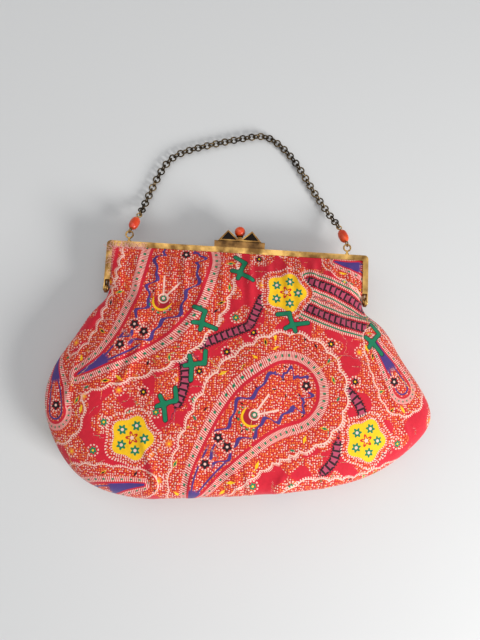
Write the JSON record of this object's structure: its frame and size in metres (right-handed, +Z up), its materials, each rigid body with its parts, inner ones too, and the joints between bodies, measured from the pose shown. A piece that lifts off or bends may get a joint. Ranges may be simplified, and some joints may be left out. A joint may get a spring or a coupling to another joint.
{
  "type": "frame handbag",
  "caption": "Soft print cotton purse gathered onto a hinged brass frame, with a twin-peaked ball-lever clasp and a short round-link chain handle hung on two beaded wire links.",
  "frame": {"origin": "On the surface it lies on, at the middle of the flat of the pouch's back, under the middle of the frame's width.", "axes": "+X along the frame, +Y from the pouch towards the handle, +Z up through the pouch from back to front."},
  "size_m": [0.2862, 0.2929, 0.0504],
  "materials": {
    "print_cotton": "printed plain-weave cotton, worn",
    "lining_cloth": "plain cotton",
    "coral": "polished",
    "chain_metal": "aged, dull",
    "dark_brass": "darkened",
    "spring_steel": "plain",
    "aged_brass": "aged, satin"
  },
  "bodies": {
    "bag": {"back_jaw": "aged_brass", "clasp_back": "dark_brass", "clasp_pin": "aged_brass", "clasp_spring": "spring_steel", "back_panel": "print_cotton", "front_panel": "print_cotton", "lining_front": "lining_cloth", "lining_back": "lining_cloth", "handle_eye_left": "aged_brass", "handle_eye_right": "aged_brass", "hinge_rivet_left": "aged_brass", "hinge_rivet_right": "aged_brass"},
    "front_frame": {"front_jaw": "aged_brass", "clasp_bar_front": "aged_brass", "clasp_plate_front": "dark_brass", "front_panel_top": "print_cotton", "lining_front_top": "lining_cloth"},
    "lever": {"clasp_lever": "aged_brass", "knob_cup": "aged_brass", "clasp_knob": "coral"},
    "left_link": {"bead_wire_left": "aged_brass", "bead_left": "coral"},
    "right_link": {"bead_wire_right": "aged_brass", "bead_right": "coral"},
    "chain": {"chain_links_1": "chain_metal", "chain_links_2": "chain_metal", "chain_links_3": "chain_metal", "chain_links_4": "chain_metal", "chain_links_5": "chain_metal", "chain_links_6": "chain_metal", "chain_links_7": "chain_metal", "chain_links_8": "chain_metal", "chain_end_link": "chain_metal"}
  },
  "joints": [
    {"name": "frame_hinge", "type": "hinge", "parent": "bag", "child": "front_frame", "pos_m": [0, 0.069, 0.022], "axis": [1, 0, 0], "range_deg": [0, 80]},
    {"name": "clasp_lever_turn", "type": "hinge", "parent": "bag", "child": "lever", "pos_m": [0, 0.1077, 0.0197], "axis": [-1, 0, 0], "range_deg": [0, 40], "stiffness_Nm_per_rad": 0.02},
    {"name": "left_bead_swing", "type": "hinge", "parent": "bag", "child": "left_link", "pos_m": [-0.085, 0.1149, 0.01955], "axis": [1, 0, 0], "range_deg": [-45, 90]},
    {"name": "right_bead_swing", "type": "hinge", "parent": "bag", "child": "right_link", "pos_m": [0.085, 0.1149, 0.01955], "axis": [1, 0, 0], "range_deg": [-45, 90]},
    {"name": "chain_swing", "type": "hinge", "parent": "left_link", "child": "chain", "pos_m": [0, 0.13245, 0.01095], "axis": [1, 0, 0], "range_deg": [-60, 25]}
  ],
  "couplings": [
    {"joint": "right_bead_swing", "follows": "left_bead_swing", "ratio": 1}
  ]
}
